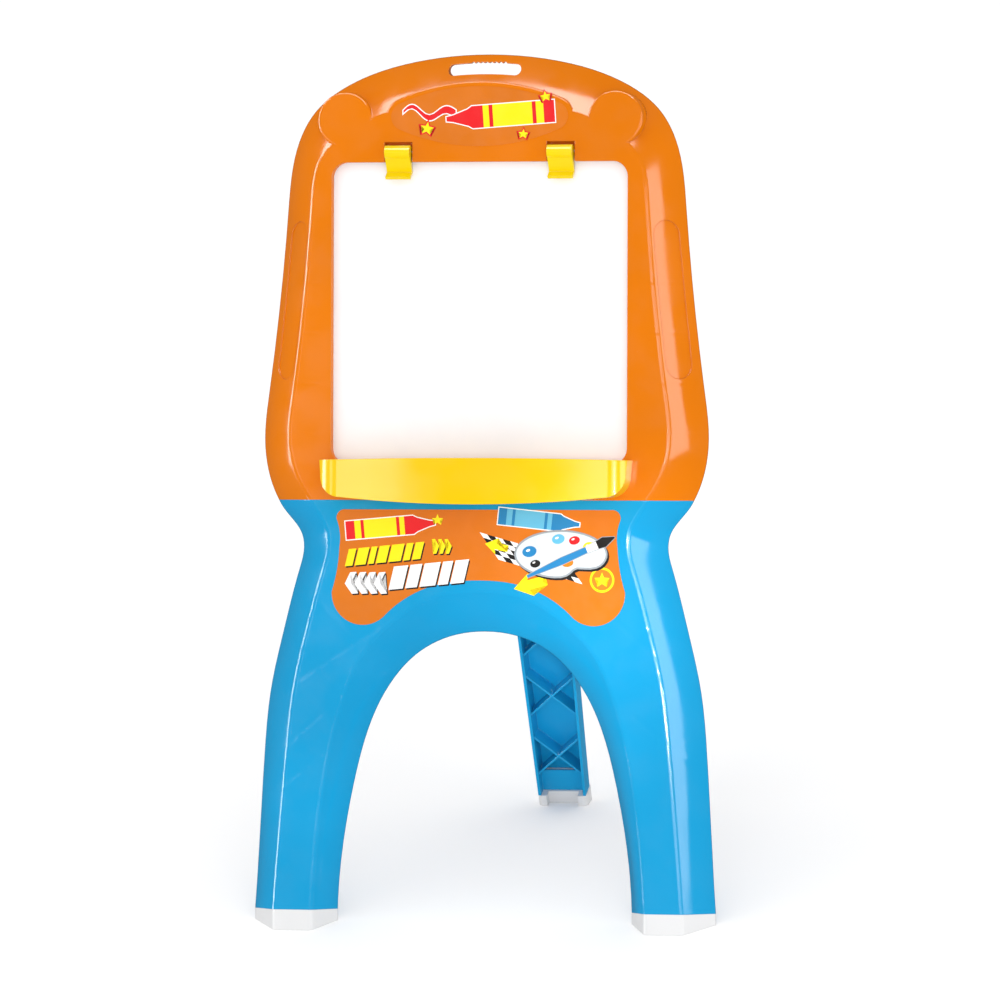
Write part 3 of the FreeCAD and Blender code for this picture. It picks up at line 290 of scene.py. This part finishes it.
inks = {key: ink("ink_" + key, colour) for key, colour in INKS.items()}

slots = {part["node"]: part["material_slot"] for part in frame["record"]["subparts"]}
for name, obj in frame["nodes"].items():
    obj.data.materials.clear()
    obj.data.materials.append(materials[slots[name]])


# ------------------------------------------------------------------ printed artwork

PRINT_STEP = 0.05          # each printed layer stands this far in front of the one below
PRINT_GAP = 0.01           # between a label and its first printed layer


OVAL_STEPS = 40
STAR_TIPS = 5


def oval(x, y, wide, high, turn=0.0):
    spin = math.radians(turn)
    points = []
    for i in range(OVAL_STEPS):
        angle = 2 * math.pi * i / OVAL_STEPS
        a, b = wide * math.cos(angle), high * math.sin(angle)
        points.append((x + a * math.cos(spin) - b * math.sin(spin),
                       y + a * math.sin(spin) + b * math.cos(spin)))
    return points


def star(x, y, outer, inner, turn=90.0):
    points = []
    for i in range(2 * STAR_TIPS):
        radius = outer if i % 2 == 0 else inner
        angle = math.radians(turn + 180.0 * i / STAR_TIPS)
        points.append((x + radius * math.cos(angle), y + radius * math.sin(angle)))
    return points


def placed(points, x, y, turn=0.0, grow=1.0):
    spin = math.radians(turn)
    cos, sin = grow * math.cos(spin), grow * math.sin(spin)
    return [(x + a * cos - b * sin, y + a * sin + b * cos) for a, b in points]


def swollen(points, amount):
    """The outline moved outwards by amount, for the border round a printed shape."""
    area = sum(p[0] * q[1] - q[0] * p[1] for p, q in zip(points, points[1:] + points[:1]))
    side = 1 if area > 0 else -1
    moved = []
    for i, (x, y) in enumerate(points):
        before, after = points[i - 1], points[(i + 1) % len(points)]
        first = Vector((x - before[0], y - before[1])).normalized()
        second = Vector((after[0] - x, after[1] - y)).normalized()
        bend = Vector((first.y + second.y, -first.x - second.x))
        bend = bend.normalized() * side * amount / max(0.45, bend.length / 2)
        moved.append((x + bend.x, y + bend.y))
    return moved


def bordered(points, colour, border, amount, layer):
    return [(swollen(points, amount), border, layer), (points, colour, layer + 1)]


def artwork(name, prints):
    """Thin raised print films on the front panel, one closed slab for each shape."""
    colours = sorted({colour for _, colour, _ in prints})
    mesh = bmesh.new()
    for points, colour, layer in prints:
        back = LABEL_FRONT - PRINT_GAP - (layer - 1) * PRINT_STEP
        front = LABEL_FRONT - PRINT_GAP - layer * PRINT_STEP
        rings = []
        for deep in (back, front):
            rings.append([mesh.verts.new(Vector((x, deep, y)) * MM) for x, y in points])
        faces = [mesh.faces.new(rings[0]), mesh.faces.new(list(reversed(rings[1])))]
        for i in range(len(points)):
            j = (i + 1) % len(points)
            faces.append(mesh.faces.new((rings[0][j], rings[0][i], rings[1][i], rings[1][j])))
        for face in faces:
            face.material_index = colours.index(colour)
    bmesh.ops.triangulate(mesh, faces=[f for f in mesh.faces if len(f.verts) > 4])
    bmesh.ops.recalc_face_normals(mesh, faces=mesh.faces)
    data = bpy.data.meshes.new(name)
    mesh.to_mesh(data)
    mesh.free()
    for colour in colours:
        data.materials.append(inks[colour])
    obj = bpy.data.objects.new(name, data)
    bpy.context.scene.collection.objects.link(obj)
    obj.matrix_world = PANEL
    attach(obj, "front_panel")


CRAYON = [(-0.5, -0.1), (0.26, -0.1), (0.3, -0.075), (0.44, -0.03), (0.5, -0.02),
          (0.5, 0.02), (0.44, 0.03), (0.3, 0.075), (0.26, 0.1), (-0.5, 0.1)]
CRAYON_SLEEVE = [(-0.4, -0.1), (0.16, -0.1), (0.16, 0.1), (-0.4, 0.1)]
ARROW = [(-0.5, -0.14), (0.05, -0.14), (-0.02, -0.34), (0.5, 0), (-0.02, 0.34),
         (0.05, 0.14), (-0.5, 0.14), (-0.36, 0)]


def crayon(x, y, turn, size, body, sleeve, layer):
    """A wax crayon with a paper sleeve and two bands, bordered in white."""
    prints = bordered(placed(CRAYON, x, y, turn, size), body, "white", 1.2, layer)
    prints.append((placed(CRAYON_SLEEVE, x, y, turn, size), sleeve, layer + 2))
    for at in (-0.33, 0.07):
        band = [(at, -0.1), (at + 0.035, -0.1), (at + 0.035, 0.1), (at, 0.1)]
        prints.append((placed(band, x, y, turn, size), body, layer + 3))
    return prints


def chevrons(x, y, count, pitch, wide, high, colour, pointing, layer):
    prints = []
    for i in range(count):
        arrow = [(0, 0), (wide * 0.5, high / 2), (wide, high / 2), (wide * 0.5, 0),
                 (wide, -high / 2), (wide * 0.5, -high / 2)]
        turned = [(a * pointing, b) for a, b in arrow]
        shape = placed(turned, x + i * pitch, y, 5)
        prints.append((placed(turned, x + i * pitch + 1.2, y - 1.6, 5), "black", layer))
        prints.append((shape, colour, layer + 1))
    return prints


def slanted_bars(x, y, widths, high, gap, colour, layer):
    """A row of slanted blocks that rises to the right, each with a black drop shadow."""
    prints = []
    at = x
    lean, rise = 0.24, 0.1
    for wide in widths:
        block = [(at, 0), (at + wide, wide * rise), (at + wide + high * lean, high + wide * rise),
                 (at + high * lean, high)]
        level = y + (at - x) * rise
        shape = [(a, b + level) for a, b in block]
        prints.append(([(a + 1.3, b - 1.7) for a, b in shape], "black", layer))
        prints.append((shape, colour, layer + 1))
        at += wide + gap
    return prints


def checks(x, y, across, down, cell, layer):
    """A slanting chequered strip of black and white diamonds."""
    prints = []
    for i in range(across):
        for j in range(down):
            corner = (x + i * cell + j * cell * 0.5, y - j * cell * 0.7 - i * cell * 0.28)
            tile = [(0, 0), (cell, -0.28 * cell), (cell * 1.5, -0.98 * cell),
                    (cell * 0.5, -0.7 * cell)]
            colour = "black" if (i + j) % 2 else "white"
            prints.append(([(corner[0] + a, corner[1] + b) for a, b in tile], colour, layer))
    return prints


def paint_palette(x, y, layer):
    """An artist's palette with paint spots and a brush laid over it."""
    board = []
    for i in range(48):
        angle = 2 * math.pi * i / 48
        dent = 1 - 0.3 * math.exp(-((angle - 5.2) ** 2) / 0.09)
        board.append((x + 55 * dent * math.cos(angle), y + 28 * dent * math.sin(angle)))
    prints = [([(a + 2, b - 2.4) for a, b in board], "black", layer)]
    prints += [(board, "grey", layer + 1),
               (swollen(board, -2.2), "pale", layer + 2)]
    spots = (("blue", -37, 3, 8.5), ("white", -22, 15, 7), ("sky", -3, 17.5, 7.5),
             ("red", 16, 16, 6.5), ("yellow", 33, 9, 7), ("black", -30, -11, 6))
    for colour, across, up, radius in spots:
        prints.append((oval(x + across, y + up, radius, radius * 0.74, 12), colour, layer + 3))
        prints.append((oval(x + across - 1.6, y + up + 1.3, radius * 0.3, radius * 0.16, 20),
                       "white", layer + 4))
    prints.append((oval(x + 8, y - 10, 7, 4.6, 10), "orange", layer + 3))
    return prints + brush(x + 12, y - 3, 24, 112, layer + 5)


def brush(x, y, turn, size, layer):
    handle = [(-0.5, -0.012), (-0.1, -0.036), (0.18, -0.03), (0.18, 0.03), (-0.1, 0.036),
              (-0.5, 0.012)]
    ferrule = [(0.18, -0.034), (0.3, -0.04), (0.3, 0.04), (0.18, 0.034)]
    hair = [(0.3, -0.04), (0.38, -0.052), (0.5, -0.006), (0.5, 0.006), (0.38, 0.052),
            (0.3, 0.04)]
    prints = []
    for points, colour in ((handle, "blue"), (ferrule, "white"), (hair, "black")):
        shape = placed(points, x, y, turn, size)
        prints += [(swollen(shape, 0.7), "grey", layer), (shape, colour, layer + 1)]
    return prints


def bridge_artwork():
    prints = crayon(-104, 468, 5, 106, "red", "yellow", 1)
    prints += [(star(-48, 476, 7, 3), "yellow", 2)]
    prints += slanted_bars(-158, 422, (9, 13, 7, 12, 15, 8, 10), 20, 2.6, "yellow", 1)
    prints += chevrons(-46, 446, 3, 7.5, 8, 17, "yellow", -1, 1)
    prints += chevrons(-158, 402, 4, 11.5, 15, 25, "white", 1, 1)
    prints += slanted_bars(-106, 395, (17, 14, 19, 12, 16), 27, 2.8, "white", 1)
    prints += checks(2, 462, 11, 5, 9, 1)
    prints += [(placed(ARROW, 22, 446, 168, 28), "yellow", 2),
               (placed(ARROW, 62, 402, 195, 40), "yellow", 2)]
    prints += crayon(72, 476, -6, 96, "blue", "sky", 3)
    prints += paint_palette(98, 437, 8)
    prints += [(oval(146.5, 407.6, 14.5, 14.5), "yellow", 2),
               (oval(146.5, 407.6, 12, 12), "orange", 3),
               (star(146.5, 407.2, 9.2, 4), "yellow", 4)]
    artwork("bridge_artwork", prints)


def badge_artwork():
    """A big crayon that draws a wavy stroke, with stars."""
    stroke = []
    for i in range(25):
        along = i / 24
        stroke.append((-90 + 62 * along, 949 + 7 * math.sin(along * 9.4) * (1 - 0.4 * along)))
    under = [(x, y - 3 - 6 * (i / 24)) for i, (x, y) in enumerate(stroke)]
    trail = stroke + list(reversed(under))
    prints = bordered(trail, "red", "white", 1.3, 1)
    prints += crayon(25, 943, 184, 128, "red", "yellow", 3)
    prints += bordered(star(-62, 928, 8, 3.5, 80), "yellow", "red", 1.4, 3)
    prints += bordered(star(78, 964, 6.5, 2.8, 100), "yellow", "red", 1.2, 7)
    prints += bordered(star(52, 921, 6, 2.6, 85), "yellow", "red", 1.2, 7)
    artwork("badge_artwork", prints)


bridge_artwork()
badge_artwork()


# ------------------------------------------------------------------ stage, light, camera

MIDDLE = (0, -0.05, 0.5)     # what the softboxes are aimed at
ROOM = 1.09                  # the even light all round
ROOM_IN_GLOSS = 0.1          # and how bright it is in reflections
FLOOR_REACH = 30             # half the floor's width, in metres


def floor():
    mesh = bpy.data.meshes.new("floor")
    mesh.from_pydata([(x * FLOOR_REACH, y * FLOOR_REACH, 0)
                      for x, y in ((-1, -1), (1, -1), (1, 1), (-1, 1))], [], [(0, 1, 2, 3)])
    obj = bpy.data.objects.new("floor", mesh)
    bpy.context.scene.collection.objects.link(obj)
    n = Nodes("floor")
    n.link(n.mix(n.noise(3.0), (0.965, 0.965, 0.965, 1), (0.985, 0.985, 0.985, 1)),
           n.shader.inputs["Base Color"])
    n.set(Roughness=0.9, Specular_IOR_Level=0.1)
    mesh.materials.append(n.material)
    obj.visible_glossy = False           # a white floor would wash out the gloss above it


def area_light(name, place, target, size, power, gloss_only=False):
    """Softbox; with gloss_only it is seen in reflections and casts no light of its own."""
    light = bpy.data.lights.new(name, "AREA")
    light.shape = "RECTANGLE"
    light.size, light.size_y = size
    light.energy = power
    obj = bpy.data.objects.new(name, light)
    obj.location = place
    obj.rotation_euler = (Vector(target) - Vector(place)).to_track_quat("-Z", "Y").to_euler()
    obj.visible_diffuse = not gloss_only
    bpy.context.scene.collection.objects.link(obj)


def rear_leg_spot():
    """Narrow soft spot through the arch onto the rear leg, which the panel shades."""
    light = bpy.data.lights.new("rear_leg_spot", "SPOT")
    light.spot_size = math.radians(5.4)
    light.spot_blend = 0.8
    light.shadow_soft_size = 0.1
    light.energy = 300
    obj = bpy.data.objects.new("rear_leg_spot", light)
    obj.location = (0.96, -3.58, 1.32)
    aim = Vector((0.07, 0.17, 0.25)) - obj.location
    obj.rotation_euler = aim.to_track_quat("-Z", "Y").to_euler()
    bpy.context.scene.collection.objects.link(obj)


def studio():
    """Even white light all round, but dim in reflections so that gloss keeps its colour."""
    world = bpy.data.worlds.new("studio")
    world.use_nodes = True
    tree = world.node_tree
    reflected = tree.nodes.new("ShaderNodeLightPath").outputs["Is Glossy Ray"]
    ramp = tree.nodes.new("ShaderNodeMapRange")
    ramp.inputs["To Min"].default_value = ROOM
    ramp.inputs["To Max"].default_value = ROOM_IN_GLOSS
    tree.links.new(reflected, ramp.inputs["Value"])
    tree.links.new(ramp.outputs[0], tree.nodes["Background"].inputs["Strength"])
    tree.nodes["Background"].inputs["Color"].default_value = (1, 1, 1, 1)
    bpy.context.scene.world = world


def camera():
    yaw, rise, roll = math.radians(13.357), math.radians(15.488), math.radians(-3.463)
    target = Vector((0.0229, -0.1054, 0.4764))
    distance = 10.0
    back = Vector((math.sin(yaw) * math.cos(rise), -math.cos(yaw) * math.cos(rise),
                   math.sin(rise)))
    right = (-back).cross(Vector((0, 0, 1))).normalized()
    up = right.cross(-back)
    turned_right = math.cos(roll) * right + math.sin(roll) * up
    turned_up = -math.sin(roll) * right + math.cos(roll) * up
    data = bpy.data.cameras.new("camera")
    data.sensor_width = 36.0
    data.lens = 311.94
    data.clip_end = 60
    obj = bpy.data.objects.new("camera", data)
    rotation = Matrix((turned_right, turned_up, back)).transposed().to_4x4()
    obj.matrix_world = Matrix.Translation(target + back * distance) @ rotation
    bpy.context.scene.collection.objects.link(obj)
    bpy.context.scene.camera = obj


floor()
area_light("key", (0.9, -3.9, 1.6), MIDDLE, (2.0, 1.2), 30)
area_light("right_softbox", (2.6, -1.4, 1.2), MIDDLE, (1.6, 1.7), 40, True)
area_light("left_softbox", (-2.4, -0.9, 1.5), MIDDLE, (1.0, 3.0), 130, True)
area_light("top_softbox", (0, -0.9, 3.4), MIDDLE, (3.0, 1.2), 130, True)
area_light("tray_softbox", (-1.39, -2.75, 1.3), MIDDLE, (0.66, 0.6), 5, True)
rear_leg_spot()
studio()
bpy.context.scene.view_settings.view_transform = "Standard"
camera()
